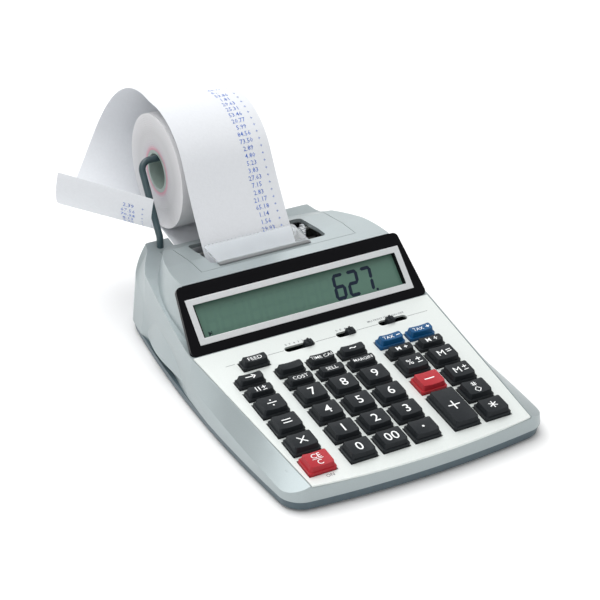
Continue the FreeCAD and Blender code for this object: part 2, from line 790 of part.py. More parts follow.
# Printer -----------------------------------------------------------------------------------------
exit_lean = math.radians(num("exit_lean"))
across = V(1, 0, 0)
exit_heading = V(0, math.sin(exit_lean), math.cos(exit_lean))
exit_front = V(0, -math.cos(exit_lean), math.sin(exit_lean))
exit_point = V(num("paper_centre"), num("exit_y"), num("exit_z"))
paper_gap = num("paper_gap")
wrap_bend = num("feed_bend") + paper_gap
wrap_end = exit_point - exit_heading * num("exit_run")
feed_centre = wrap_end - exit_front * wrap_bend
frame_left, frame_right = num("frame_left"), num("frame_right")
roller_left = frame_left + 2.5
roller_run = frame_right - frame_left - 5


def roller(name, centre, bend, extra):
    """A roller with its axle running in both side plates, and its driving disc at one end."""
    drum = rod("drum_" + name, bend, roller_run, (roller_left, centre.y, centre.z), (1, 0, 0))
    axle_run = frame_right - frame_left + 3
    axle = rod("axle_" + name, size("axle_bend"), axle_run, (frame_left - 1.5, centre.y, centre.z), (1, 0, 0))
    return fuse("roller_" + name, [drum, axle] + extra)


piece(roller("feed", feed_centre, size("feed_bend"), []), "feed_roller")
wheel_centre = feed_centre - V(0, wrap_bend + paper_gap + num("wheel_bend"), 0)
rings = []
for i in range(8):
    ring_x = num("paper_centre") + 2 + i * num("ring_pitch")
    ring_at = (ring_x, wheel_centre.y, wheel_centre.z)
    rings.append(rod("ring_%d" % i, size("wheel_bend"), size("ring_run"), ring_at, (1, 0, 0)))
piece(roller("wheel", wheel_centre, size("wheel_bend") - 1.0, rings), "print_wheel")
ink_reach = num("wheel_bend") + num("ink_bend") + gap
ink_turn = math.radians(num("ink_turn"))
ink_centre = wheel_centre + V(0, -ink_reach * math.cos(ink_turn), ink_reach * math.sin(ink_turn))
piece(roller("ink", ink_centre, size("ink_bend"), []), "ink_roller")

plate_run = num("frame_back") - num("frame_front")
plate_middle = (num("frame_back") + num("frame_front")) / 2
metal = size("frame_sheet")
frame_rise, frame_floor = size("frame_rise"), num("frame_floor")
left_x, right_x = frame_left + num("frame_sheet") / 2, frame_right - num("frame_sheet") / 2
frame_wide = frame_right - frame_left
frame_plates = [
    box("frame_left_plate", metal, plate_run, frame_rise, left_x, plate_middle, frame_floor),
    box("frame_right_plate", metal, plate_run, frame_rise, right_x, plate_middle, frame_floor),
    box("frame_base_plate", frame_wide, plate_run, metal, (frame_left + frame_right) / 2, plate_middle, frame_floor),
]
axle_holes = [
    rod("axle_hole_%d" % i, size("axle_bend") + size("axle_gap"), 200, (-100, centre.y, centre.z), (1, 0, 0))
    for i, centre in enumerate([feed_centre, wheel_centre, ink_centre])
]
piece(cut("frame_body", fuse("frame_sheet", frame_plates), fuse("axle_holes", axle_holes)), "printer_frame")
motor_floor = frame_floor + num("frame_sheet")
motor_at = (frame_left + num("frame_sheet"), num("motor_y"), motor_floor + num("motor_bend") + gap)
motor_can = rod("motor_can", size("motor_bend"), size("motor_run"), motor_at, (1, 0, 0))
motor_tip = rod("motor_tip", 1.0, size("motor_run") + 6, motor_at, (1, 0, 0))
motor_foot = box(
    "motor_foot", size("motor_run") - 6, size("motor_bend"), size("motor_bend"),
    motor_at[0] + num("motor_run") / 2, num("motor_y"), motor_floor,
)
piece(fuse("motor_body", [motor_can, motor_tip, motor_foot]), "printer_motor")

# Tear bar: a clear toothed strip between the front of the opening and the paper
bar_start = V(num("paper_centre"), num("opening_front") - num("bar_setback"), num("hood_height"))
tooth = num("tooth_pitch")
teeth = int(num("paper_width") // tooth) + 1
bar_half = teeth * tooth / 2
bar_run = num("bar_run")
bar_points = [V(-bar_half, 0, 0), V(bar_half, 0, 0)]
for i in range(teeth):
    bar_points.append(V(bar_half - i * tooth, bar_run, 0))
    bar_points.append(V(bar_half - (i + 0.5) * tooth, bar_run + num("tooth_height"), 0))
bar_points.append(V(-bar_half, bar_run, 0))
bar_frame = FreeCAD.Placement(bar_start, FreeCAD.Rotation(V(1, 0, 0), num("bar_slope")))
bar_plate = plate_on("bar_plate", polygon(bar_points), size("bar_thick"), bar_frame, num("bar_thick"))
bar_foot = box(
    "bar_foot", 2 * bar_half, size("bar_foot"), size("bar_thick"),
    bar_start.x, bar_start.y + num("bar_foot") / 2, bar_start.z,
)
piece(fuse("bar_body", [bar_plate, bar_foot]), "tear_bar")

# Paper roll, core, arm and tape ------------------------------------------------------------------
roll_left = num("paper_centre") - num("paper_width") / 2
roll_axis = (roll_left, num("roll_y"), num("roll_z"))
roll_full = rod("roll_full", size("roll_bend"), size("paper_width"), roll_axis, (1, 0, 0))
roll_bore = rod("roll_bore", size("core_outer"), size("paper_width"), roll_axis, (1, 0, 0))
piece(cut("roll_body", roll_full, roll_bore), "paper_roll")
core_full = rod("core_full", size("core_outer"), size("paper_width"), roll_axis, (1, 0, 0))
core_bore = rod("core_bore", size("core_inner"), size("paper_width"), roll_axis, (1, 0, 0))
piece(cut("core_body", core_full, core_bore), "roll_core")

wire = num("wire_radius")
spindle_z = num("roll_z") + num("core_inner") - wire - gap
arm_side, foot_y = num("arm_side"), num("arm_foot_y")
arm_top = V(arm_side, num("roll_y"), spindle_z)
arm_end = num("paper_centre") + num("paper_width") / 2 + 4
arm_points = [
    V(arm_side, foot_y, num("arm_low")),
    V(arm_side, foot_y, num("arm_bend_z")),
    arm_top,
    V(arm_end, num("roll_y"), spindle_z),
    V(arm_end, num("roll_y") + 1, spindle_z - num("core_inner") - 4),
]


def bent_path(points, bend):
    """Straight runs joined by tangent arcs."""
    edges = []
    start = points[0]
    for before, corner, after in zip(points, points[1:], points[2:]):
        first = (before - corner).normalize()
        second = (after - corner).normalize()
        half_angle = first.getAngle(second) / 2
        reach = bend / math.tan(half_angle)
        enter, leave = corner + first * reach, corner + second * reach
        inward = (first + second).normalize()
        middle = corner + inward * (bend / math.sin(half_angle) - bend)
        edges.append(line(start, enter))
        edges.append(arc(enter, middle, leave))
        start = leave
    edges.append(line(start, points[-1]))
    return Part.Wire(edges)


arm_path = bent_path(arm_points, num("arm_bend"))
section = Part.Wire(Part.makeCircle(wire, arm_points[0], V(0, 0, 1)))
piece(formed("arm_wire", arm_path.makePipeShell([section], True, False)), "paper_arm")


# The strip: from the roll, under the feed roller, out past the tear bar, over the roll and round
reach_y = num("roll_y") - feed_centre.y
reach_z = num("roll_z") - feed_centre.z
reach = math.hypot(reach_y, reach_z)
loose_bend = num("roll_bend") + paper_gap
web_slope = math.atan2(reach_z, reach_y) - math.asin((loose_bend - wrap_bend) / reach)
web_start = V(
    num("paper_centre"),
    num("roll_y") + loose_bend * math.sin(web_slope),
    num("roll_z") - loose_bend * math.cos(web_slope),
)
LOOP = [
    # length, turn towards the back in degrees, twist to the left in degrees
    (50.0, -10.0, 2.5),
    (50.0, 66.0, 3.0),
    (74.0, 100.0, 45.0),
    (37.0, 53.0, 12.0),
    (40.0, 52.0, 1.0),
    (26.0, 51.0, -2.0),
]
SECTION_STEP = 8.0  # about how far apart the loop's cross sections stand
strip_half = num("paper_width") / 2 - 0.1


def strip_section(middle, heading, wide):
    """Cross section of the strip, square to its heading."""
    face = wide.cross(heading) * (num("paper_thick") / 2)
    sides = wide * strip_half
    corners = [middle - sides + face, middle + sides + face, middle + sides - face, middle - sides - face]
    return Part.makePolygon(corners + [corners[0]])


def loop_solid():
    """The free loop: bends over the roll while it twists to the left."""
    middle, along, wide = V(exit_point), V(exit_heading), V(1, 0, 0)
    sections = [strip_section(middle, along, wide)]
    for length, turn, twist in LOOP:
        steps = round(length / SECTION_STEP)
        for _ in range(steps):
            bend = FreeCAD.Rotation(wide, -turn / steps / 2)
            along = bend.multVec(along)
            middle = middle + along * (length / steps)
            along = bend.multVec(along)
            wide = FreeCAD.Rotation(along, twist / steps).multVec(wide)
            sections.append(strip_section(middle, along, wide))
    return Part.makeLoft(sections, True, False)


def web_solid():
    """The stretch from the roll, round the feed roller and up to the exit."""
    web_heading = V(0, -math.cos(web_slope), -math.sin(web_slope))
    web_front = V(0, math.sin(web_slope), -math.cos(web_slope))
    wrap_start = feed_centre + web_front * wrap_bend
    start, end = V(wrap_start), feed_centre + exit_front * wrap_bend
    middle = feed_centre + (web_front + exit_front).normalize() * wrap_bend
    for point in (start, end, middle):
        point.x = num("paper_centre")
    path = Part.Wire([line(web_start, start), arc(start, middle, end), line(end, exit_point)])
    first = strip_section(web_start, web_heading, V(1, 0, 0))
    return path.makePipeShell([first], True, False)


piece(formed("strip", web_solid().fuse(loop_solid()).removeSplitter()), "paper_tape")

# Power inlet ---------------------------------------------------------------------------------------
jack_front = num("case_rear") - num("jack_run") - num("jack_setback")
jack_x, jack_z, jack_run = num("jack_x"), num("jack_z"), size("jack_run")
jack_box = box("jack_box", 10, jack_run, 10, jack_x, jack_front + num("jack_run") / 2, jack_z - 5)
jack_nose = rod("jack_nose", size("jack_bend"), jack_run + 2, (jack_x, jack_front, jack_z), (0, 1, 0))
jack_bore = rod("jack_bore", size("jack_inner"), jack_run, (jack_x, jack_front + 3, jack_z), (0, 1, 0))
jack_pin = rod("jack_pin", 0.9, jack_run - 2, (jack_x, jack_front + 2, jack_z), (0, 1, 0))
jack_shell = cut("jack_shell", fuse("jack_outer", [jack_box, jack_nose]), jack_bore)
piece(fuse("jack_body", [jack_shell, jack_pin]), "power_inlet")

# Check and write -----------------------------------------------------------------------------------
doc.recompute()
broken = [item.Name for item in doc.Objects if "Invalid" in item.State or "Error" in item.State]
if broken:
    raise RuntimeError("failed objects: %s" % broken)
os.makedirs("parts", exist_ok=True)
for item in pieces:
    if item.Shape.isNull() or not item.Shape.isValid() or not item.Shape.Solids:
        raise RuntimeError("bad shape: " + item.Label)
    item.Shape.exportStep("parts/%s.step" % item.Label)
print("%d pieces" % len(pieces))
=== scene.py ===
"""Looks of the desk printing calculator: silver case, charcoal keys, green display, printed paper strip."""
import math
import random

import bpy
from mathutils import Matrix, Vector


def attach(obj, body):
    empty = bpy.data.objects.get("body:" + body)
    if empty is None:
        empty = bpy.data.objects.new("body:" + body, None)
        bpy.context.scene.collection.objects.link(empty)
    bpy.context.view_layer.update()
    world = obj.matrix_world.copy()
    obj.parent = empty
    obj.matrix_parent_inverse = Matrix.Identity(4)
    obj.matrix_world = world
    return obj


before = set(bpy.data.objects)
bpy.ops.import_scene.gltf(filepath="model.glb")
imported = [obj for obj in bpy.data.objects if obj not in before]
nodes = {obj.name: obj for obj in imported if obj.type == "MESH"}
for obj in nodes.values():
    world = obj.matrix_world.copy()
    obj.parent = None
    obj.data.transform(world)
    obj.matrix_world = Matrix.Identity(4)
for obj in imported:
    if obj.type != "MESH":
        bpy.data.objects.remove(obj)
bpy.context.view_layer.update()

MM = 0.001

# Sizes of the calculator, in millimetres
DECK_TILT = math.radians(8.34)
HOOD_FOOT = Vector((0, 8.6, 32.0))
GRID_TO_HOOD = 78.7
BEZEL_SLOPE = math.radians(45)
COLUMNS = [-55.95, -31.8, -12.6, 6.6, 30.75, 49.95]
FULL_ROWS = [24.345, 8.115, -8.115, -24.345]
SLIM_LOW, SLIM_HIGH = 37.2, 48.0
CAP_LOW = 4.4
SCOOP_BEND = 34.0
LEGEND_UP = 0.05
ROLL_AXIS = Vector((0, 128.4, 86.0))
PAPER_THICK = 0.25

along_deck = Vector((0, math.cos(DECK_TILT), math.sin(DECK_TILT)))
deck_origin = HOOD_FOOT - along_deck * GRID_TO_HOOD
CASE = Matrix.Diagonal((MM, MM, MM, 1))
DECK = Matrix.Translation(deck_origin * MM) @ Matrix.Rotation(DECK_TILT, 4, "X") @ CASE
BEZEL = Matrix.Translation(HOOD_FOOT * MM) @ Matrix.Rotation(BEZEL_SLOPE, 4, "X") @ CASE


# Materials -----------------------------------------------------------------------------------------
def finish(name, colour, roughness, metallic=0.0, grain=0.0, grain_scale=900.0, mottle=0.0, mottle_scale=40.0,
           smudge=0.0, stretch=None, shine=0.5):
    """A surface with its own fine grain, a little colour variation and uneven gloss."""
    material = bpy.data.materials.new(name)
    material.use_nodes = True
    tree = material.node_tree
    shader = tree.nodes["Principled BSDF"]
    shader.inputs["Base Color"].default_value = (*colour, 1)
    shader.inputs["Roughness"].default_value = roughness
    shader.inputs["Metallic"].default_value = metallic
    shader.inputs["Specular IOR Level"].default_value = shine
    place = tree.nodes.new("ShaderNodeTexCoord").outputs["Object"]
    if stretch:
        mapping = tree.nodes.new("ShaderNodeMapping")
        mapping.inputs["Scale"].default_value = stretch
        tree.links.new(place, mapping.inputs["Vector"])
        grain_place = mapping.outputs["Vector"]
    else:
        grain_place = place
    if grain:
        noise = tree.nodes.new("ShaderNodeTexNoise")
        noise.inputs["Scale"].default_value = grain_scale
        noise.inputs["Detail"].default_value = 3
        tree.links.new(grain_place, noise.inputs["Vector"])
        bump = tree.nodes.new("ShaderNodeBump")
        bump.inputs["Strength"].default_value = grain
        bump.inputs["Distance"].default_value = 0.0002
        tree.links.new(noise.outputs["Fac"], bump.inputs["Height"])
        tree.links.new(bump.outputs["Normal"], shader.inputs["Normal"])
    if mottle:
        cloud = tree.nodes.new("ShaderNodeTexNoise")
        cloud.inputs["Scale"].default_value = mottle_scale
        cloud.inputs["Detail"].default_value = 4
        tree.links.new(grain_place, cloud.inputs["Vector"])
        ramp = tree.nodes.new("ShaderNodeValToRGB")
        ramp.color_ramp.elements[0].position = 0.3
        ramp.color_ramp.elements[1].position = 0.7
        ramp.color_ramp.elements[0].color = (*[c * (1 - mottle) for c in colour], 1)
        ramp.color_ramp.elements[1].color = (*[min(1, c * (1 + mottle)) for c in colour], 1)
        tree.links.new(cloud.outputs["Fac"], ramp.inputs["Fac"])
        tree.links.new(ramp.outputs["Color"], shader.inputs["Base Color"])
    if smudge:
        haze = tree.nodes.new("ShaderNodeTexNoise")
        haze.inputs["Scale"].default_value = 25
        tree.links.new(place, haze.inputs["Vector"])
        spread = tree.nodes.new("ShaderNodeMapRange")
        spread.inputs["To Min"].default_value = max(0.02, roughness - smudge)
        spread.inputs["To Max"].default_value = roughness + smudge
        tree.links.new(haze.outputs["Fac"], spread.inputs["Value"])
        tree.links.new(spread.outputs["Result"], shader.inputs["Roughness"])
    return material


case_silver = finish("case_silver", (0.36, 0.41, 0.42), 0.36, 0.45, 0.10, 2600, 0.03, 1800, 0.04)
deck_silver = finish("deck_silver", (0.74, 0.78, 0.76), 0.38, 0.35, 0.06, 2600, 0.02, 1500, 0.03)
base_slate = finish("base_slate", (0.070, 0.105, 0.125), 0.45, 0.0, 0.22, 1500, 0.06, 300, 0.05)
foot_rubber = finish("foot_rubber", (0.02, 0.02, 0.02), 0.8, 0.0, 0.3, 1200, 0.15, 300)
zinc_steel = finish("zinc_steel", (0.66, 0.66, 0.64), 0.28, 1.0, 0.08, 500, 0.05, 120, 0.08, stretch=(1, 1, 8))
bezel_black = finish("bezel_black", (0.003, 0.003, 0.004), 0.20, 0.0, 0.03, 1500, 0.1, 60, 0.03, shine=0.10)
lcd_green = finish("lcd_green", (0.086, 0.165, 0.128), 0.22, 0.0, 0.02, 900, 0.03, 90, 0.03, shine=0.35)
key_charcoal = finish("key_charcoal", (0.016, 0.019, 0.022), 0.40, 0.0, 0.16, 2200, 0.10, 900, 0.05, shine=0.16)
key_red = finish("key_red", (0.40, 0.022, 0.032), 0.40, 0.0, 0.16, 2200, 0.05, 900, 0.05, shine=0.25)
key_blue = finish("key_blue", (0.002, 0.070, 0.19), 0.38, 0.0, 0.16, 2200, 0.05, 900, 0.05, shine=0.3)
legend_white = finish("legend_white", (0.86, 0.88, 0.88), 0.5, 0.0, 0.05, 2000, 0.02, 900)
print_grey = finish("print_grey", (0.16, 0.17, 0.18), 0.6, 0.0, 0.05, 2000, 0.1, 1500)
segment_navy = finish("segment_navy", (0.004, 0.012, 0.028), 0.25, 0.0, 0.02, 900, 0.1, 300, shine=0.3)
segment_ghost = finish("segment_ghost", (0.083, 0.159, 0.126), 0.22, 0.0, 0.02, 900, 0.02, 300, shine=0.35)
window_silver = finish("window_silver", (0.72, 0.74, 0.75), 0.32, 0.6, 0.06, 2000, 0.03, 900)
ink_blue = finish("ink_blue", (0.085, 0.17, 0.52), 0.75, 0.0, 0.1, 3000, 0.35, 1400)
arm_paint = finish("arm_paint", (0.035, 0.065, 0.075), 0.3, 0.0, 0.12, 900, 0.1, 200, 0.05)
core_green = finish("core_green", (0.29, 0.36, 0.33), 0.42, 0.0, 0.1, 900, 0.06, 200)
wheel_silver = finish("wheel_silver", (0.70, 0.73, 0.75), 0.3, 0.5, 0.1, 900, 0.05, 300)
ink_foam = finish("ink_foam", (0.05, 0.04, 0.14), 0.9, 0.0, 0.7, 700, 0.3, 500)
membrane_grey = finish("membrane_grey", (0.30, 0.31, 0.31), 0.6, 0.0, 0.2, 700, 0.05, 200)
board_green = finish("board_green", (0.03, 0.14, 0.05), 0.35, 0.0, 0.2, 400, 0.2, 250)
inlet_black = finish("inlet_black", (0.015, 0.015, 0.015), 0.45, 0.0, 0.15, 900, 0.1, 300)
paper_white = finish("paper_white", (0.70, 0.72, 0.75), 0.85, 0.0, 0.35, 1100, 0.015, 600)

clear_plastic = finish("clear_plastic", (0.94, 0.97, 0.99), 0.05, 0.0, 0.02, 900)
clear_shader = clear_plastic.node_tree.nodes["Principled BSDF"]
clear_shader.inputs["Transmission Weight"].default_value = 0.8
clear_shader.inputs["IOR"].default_value = 1.2


def rolled_paper():
    """Wound paper: fine rings on the ends about the roll's axis, pink near the core."""
    material = finish("rolled_paper", (0.70, 0.72, 0.75), 0.85, 0.0)
    tree = material.node_tree
    shader = tree.nodes["Principled BSDF"]
    place = [n for n in tree.nodes if n.type == "TEX_COORD"][0].outputs["Object"]
    mapping = tree.nodes.new("ShaderNodeMapping")
    mapping.inputs["Location"].default_value = -ROLL_AXIS * MM
    mapping.inputs["Scale"].default_value = (0, 1, 1)
    tree.links.new(place, mapping.inputs["Vector"])
    reach = tree.nodes.new("ShaderNodeVectorMath")
    reach.operation = "LENGTH"
    tree.links.new(mapping.outputs["Vector"], reach.inputs[0])
    layers = tree.nodes.new("ShaderNodeMath")
    layers.operation = "MULTIPLY"
    layers.inputs[1].default_value = 5200
    tree.links.new(reach.outputs["Value"], layers.inputs[0])
    wave = tree.nodes.new("ShaderNodeMath")
    wave.operation = "SINE"
    tree.links.new(layers.outputs[0], wave.inputs[0])
    bump = tree.nodes.new("ShaderNodeBump")
    bump.inputs["Strength"].default_value = 0.25
    bump.inputs["Distance"].default_value = 0.0002
    tree.links.new(wave.outputs[0], bump.inputs["Height"])
    tree.links.new(bump.outputs["Normal"], shader.inputs["Normal"])
    ramp = tree.nodes.new("ShaderNodeValToRGB")
    ramp.color_ramp.elements[0].position = 0.0127
    ramp.color_ramp.elements[0].color = (0.58, 0.16, 0.24, 1)
    ramp.color_ramp.elements[1].position = 0.0150
    ramp.color_ramp.elements[1].color = (0.52, 0.50, 0.53, 1)
    for position, shade in ((0.0190, 0.56), (0.0210, 0.49), (0.0270, 0.58), (0.0285, 0.53), (0.0335, 0.66)):
        step = ramp.color_ramp.elements.new(position)
        step.color = (shade, shade, shade * 1.02, 1)
    tree.links.new(reach.outputs["Value"], ramp.inputs["Fac"])
    tree.links.new(ramp.outputs["Color"], shader.inputs["Base Color"])
    return material


FINISHES = {
    "top_cover": case_silver, "printer_cover": case_silver, "key_plate": deck_silver, "base_cover": base_slate,
    "rubber_feet": foot_rubber, "case_screws": zinc_steel, "display_bezel": bezel_black, "lcd_panel": lcd_green,
    "tear_bar": clear_plastic, "paper_arm": arm_paint, "paper_roll": rolled_paper(), "roll_core": core_green,
    "paper_tape": paper_white, "printer_frame": zinc_steel, "print_wheel": wheel_silver,
    "feed_roller": foot_rubber, "ink_roller": ink_foam, "printer_motor": zinc_steel,
    "key_membrane": membrane_grey, "main_board": board_green, "power_inlet": inlet_black,
}
KEY_COLOURS = {"key_minus": key_red, "key_clear": key_red, "key_tax_minus": key_blue, "key_tax_plus": key_blue}
for name, node in nodes.items():
    look = FINISHES.get(name) or KEY_COLOURS.get(name) or key_charcoal
    node.data.materials.clear()
    node.data.materials.append(look)


def soften(name, width):
    """Break the sharp edges of a moulded node."""
    node = nodes[name]
    weld = node.modifiers.new("joined", "WELD")
    weld.merge_threshold = 0.00001
    bevel = node.modifiers.new("edge", "BEVEL")
    bevel.width = width * MM
    bevel.segments = 2
    bevel.limit_method = "ANGLE"
    bevel.angle_limit = math.radians(38)
    bevel.use_clamp_overlap = True


for name in nodes:
    if name.startswith("key_") and name not in ("key_plate", "key_membrane"):
        soften(name, 0.28)
    if name.startswith("switch_knob"):
        soften(name, 0.3)


# Making pieces -------------------------------------------------------------------------------------
def only(piece):
    """Select one piece and nothing else."""
    bpy.ops.object.select_all(action="DESELECT")
    piece.select_set(True)
    bpy.context.view_layer.objects.active = piece


def settle(piece, name, place, material, body):
    """Put the place into the mesh, dress the piece and let it ride on its body."""
    only(piece)
    bpy.ops.object.transform_apply(location=True, rotation=True, scale=True)
    piece.data.transform(place)
    piece.name = name
    piece.data.materials.clear()
    piece.data.materials.append(material)
    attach(piece, body)
    return piece


def joined(parts):
    """The parts as one piece, which keeps the first one's name."""
    bpy.ops.object.select_all(action="DESELECT")
    for part in parts:
        part.select_set(True)
    bpy.context.view_layer.objects.active = parts[0]
    if len(parts) > 1:
        bpy.ops.object.join()
    return bpy.context.view_layer.objects.active


def bar(x, y, length, thick, turn=0.0, up=0.0):
    """A flat printed stroke."""
    bpy.ops.object.select_all(action="DESELECT")
    bpy.ops.mesh.primitive_plane_add(size=1, location=(x, y, up), rotation=(0, 0, math.radians(turn)))
    piece = bpy.context.active_object
    piece.scale = (length, thick, 1)
    bpy.ops.object.transform_apply(location=True, rotation=True, scale=True)
    bpy.ops.object.mode_set(mode="EDIT")
    bpy.ops.mesh.select_all(action="SELECT")
    bpy.ops.mesh.subdivide(number_cuts=3)
    bpy.ops.object.mode_set(mode="OBJECT")
    return piece


def dot(x, y, radius, up=0.0):
    """A flat printed dot."""
    bpy.ops.object.select_all(action="DESELECT")
    bpy.ops.mesh.primitive_circle_add(vertices=20, radius=radius, fill_type="NGON", location=(x, y, up))
    return bpy.context.active_object


def lettering(words, size, x=0.0, y=0.0, bold=0.012, resolution=3):
    """Flat lettering centred on a point."""
    bpy.ops.object.select_all(action="DESELECT")
    bpy.ops.object.text_add(location=(0, 0, 0))
    piece = bpy.context.active_object
    piece.data.body = words
    piece.data.size = size
    piece.data.offset = bold
    piece.data.resolution_u = resolution
    bpy.ops.object.convert(target="MESH")
    piece = bpy.context.active_object
    xs = [v.co.x for v in piece.data.vertices]
    ys = [v.co.y for v in piece.data.vertices]
    middle = Vector(((min(xs) + max(xs)) / 2, (min(ys) + max(ys)) / 2, 0))
    piece.data.transform(Matrix.Translation(-middle))
    piece.data.transform(Matrix.Translation((x, y, 0)))
    return piece


# Key legends ---------------------------------------------------------------------------------------
def legend(key, parts, column, along):
    """Print a legend on the scooped top of a key."""
    piece = joined(parts)
    for vertex in piece.data.vertices:
        x = vertex.co.x
        vertex.co.z = CAP_LOW + LEGEND_UP + SCOOP_BEND - math.sqrt(SCOOP_BEND ** 2 - x * x)
    place = DECK @ Matrix.Translation((column, along, 0))
    settle(piece, "legend_" + key, place, legend_white, "key_" + key)


WORDS = {
    "time_calc": ("TIME CAL", 3.3), "tax_minus": ("TAX", 3.4), "tax_plus": ("TAX", 3.4), "cost": ("COST", 3.6),
    "sell": ("SELL", 3.6), "margin": ("MARGIN", 3.1), "memory_add": ("M", 4.4), "memory_divide": ("M", 4.4),
    "percent": ("%", 5.8), "memory_total": ("M", 6.4), "memory_change": ("M", 6.4), "feed": ("FEED", 3.9),
}
for digit in ("7", "8", "9", "4", "5", "6", "1", "2", "3", "0", "00"):
    WORDS[digit] = (digit, 8.4)


def marks(key):
    """The strokes of a legend that aren't letters."""
    if key == "divide":
        return [bar(0, 0, 5.4, 0.65), dot(0, 2.1, 0.5), dot(0, -2.1, 0.5)]
    if key == "multiply":
        return [bar(0, 0, 6.4, 0.7, 45), bar(0, 0, 6.4, 0.7, -45)]
    if key == "equals":
        return [bar(0, 1.1, 5.2, 0.65), bar(0, -1.1, 5.2, 0.65)]
    if key == "minus":
        return [bar(0, 0, 6.0, 0.75)]
    if key == "plus":
        return [bar(0, 0, 7.0, 0.75), bar(0, 0, 7.0, 0.75, 90)]
    if key == "point":
        return [dot(0, 0, 0.7)]
    if key == "total":
        return [bar(0, 0, 5.2, 0.6, turn) for turn in (90, 30, -30)]
    if key == "right_arrow":
        return [bar(-0.8, 0, 4.6, 0.7), bar(1.8, 0.75, 2.4, 0.7, -40), bar(1.8, -0.75, 2.4, 0.7, 40)]
    if key == "rate":
        return [bar(-1.3, 0.1, 1.8, 0.6, 25), bar(0, 0, 1.6, 0.6, -20), bar(1.3, -0.1, 1.8, 0.6, 25)]
    if key == "sign":
        return [bar(-2.4, 0, 3.4, 0.6, 90), bar(-0.6, 0, 3.4, 0.6, 90), bar(2.2, 0.5, 2.4, 0.5),
                bar(2.2, 0.5, 2.4, 0.5, 90), bar(2.2, -1.6, 2.4, 0.5)]
    if key == "item_count":
        diamond = [bar(-1.0, -1.2, 2.6, 0.45, 50), bar(1.0, -1.2, 2.6, 0.45, -50),
                   bar(-1.0, -3.1, 2.6, 0.45, -50), bar(1.0, -3.1, 2.6, 0.45, 50)]
        hatch = [bar(-0.6, 2.4, 3.2, 0.4, 90), bar(0.6, 2.4, 3.2, 0.4, 90),
                 bar(0, 3.0, 3.0, 0.4), bar(0, 1.8, 3.0, 0.4)]
        return diamond + hatch
    return []


def small_marks(key):
    """The small signs beside a letter."""
    if key == "tax_minus":
        return [bar(4.6, 0, 2.2, 0.55)]
    if key == "tax_plus":
        return [bar(4.6, 0, 2.2, 0.55), bar(4.6, 0, 2.2, 0.55, 90)]
    if key == "memory_add":
        return [bar(3.0, 0, 2.2, 0.5), bar(3.0, 0, 2.2, 0.5, 90)]
    if key == "memory_divide":
        return [bar(3.0, 0, 2.2, 0.5), dot(3.0, 1.0, 0.35), dot(3.0, -1.0, 0.35)]
    if key == "memory_total":
        return [bar(3.6, 1.3, 2.8, 0.6), bar(3.6, -0.2, 2.8, 0.6)]
    if key == "memory_change":
        return [bar(3.6, 1.2, 2.6, 0.5), bar(3.6, 1.2, 2.6, 0.5, 90), bar(3.6, -1.4, 2.6, 0.5)]
    if key == "percent":
        return [bar(3.4, 1.0, 3.0, 0.6), bar(3.4, 1.0, 3.0, 0.6, 90), bar(3.4, -1.8, 3.0, 0.6)]
    return []


SHIFTS = {
    "tax_minus": -1.4, "tax_plus": -1.4, "memory_add": -1.6, "memory_divide": -1.6,
    "memory_total": -1.4, "memory_change": -1.4, "percent": -2.2,
}
ROWS = [
    (SLIM_HIGH, ["right_arrow", None, "time_calc", "rate", "tax_minus", "tax_plus"]),
    (SLIM_LOW, ["sign", "cost", "sell", "margin", "memory_add", "memory_divide"]),
    (FULL_ROWS[0], ["divide", "7", "8", "9", "percent", "memory_total"]),
    (FULL_ROWS[1], ["equals", "4", "5", "6", "minus", "memory_change"]),
    (FULL_ROWS[2], ["multiply", "1", "2", "3", None, "item_count"]),
    (FULL_ROWS[3], [None, "0", "00", "point", None, "total"]),
]
FEED_SHIFT, FEED_ALONG = 9.5, 61.3
places = {key: (COLUMNS[i], along) for along, keys in ROWS for i, key in enumerate(keys) if key}
places["feed"] = (COLUMNS[0] + FEED_SHIFT, FEED_ALONG)
places["plus"] = (COLUMNS[4], (FULL_ROWS[2] + FULL_ROWS[3]) / 2)
for key, (column, along) in places.items():
    parts = []
    if key in WORDS:
        words, height = WORDS[key]
        bold = 0.022 if height > 8 else 0.006
        parts.append(lettering(words, height, SHIFTS.get(key, 0.0), 0, bold=bold))
    parts += marks(key) + small_marks(key)
    legend(key, parts, column, along)
clear_sign = [lettering("CE", 4.8, 0, 2.4, bold=0.008), bar(0, 0, 6.4, 0.35),
              lettering("C", 4.8, 0, -2.5, bold=0.008)]
legend("clear", clear_sign, COLUMNS[0], FULL_ROWS[3])

# Printing on the deck ------------------------------------------------------------------------------
PRINT_UP = 0.03
RULE_ALONG = 65.5
RULE_THICK = 0.3
SIGNS_ALONG = 69.6
RULES = ((-61.5, -56), (-36, -26), (-6.2, 6.4), (20, 33.6), (53, 66))
strokes = [bar((a + b) / 2, RULE_ALONG, b - a, RULE_THICK, up=PRINT_UP) for a, b in RULES]
for middle, run, count in ((-16.2, 13.0, 6), (13.2, 8.0, 4)):
    for i in range(count):
        across = middle - run / 2 + run * i / (count - 1)
        strokes.append(lettering("0F4321"[i], 2.3, across, SIGNS_ALONG, bold=0.01, resolution=2))
strokes.append(lettering("MU PRINT ITEM ON OFF", 2.2, 41.0, SIGNS_ALONG, bold=0.008, resolution=2))
strokes.append(lettering("ON", 3.0, -53.5, -33.4, bold=0.02, resolution=2))
printing = joined(strokes)
for vertex in printing.data.vertices:
    vertex.co.z = PRINT_UP
settle(printing, "deck_printing", DECK, print_grey, "case")

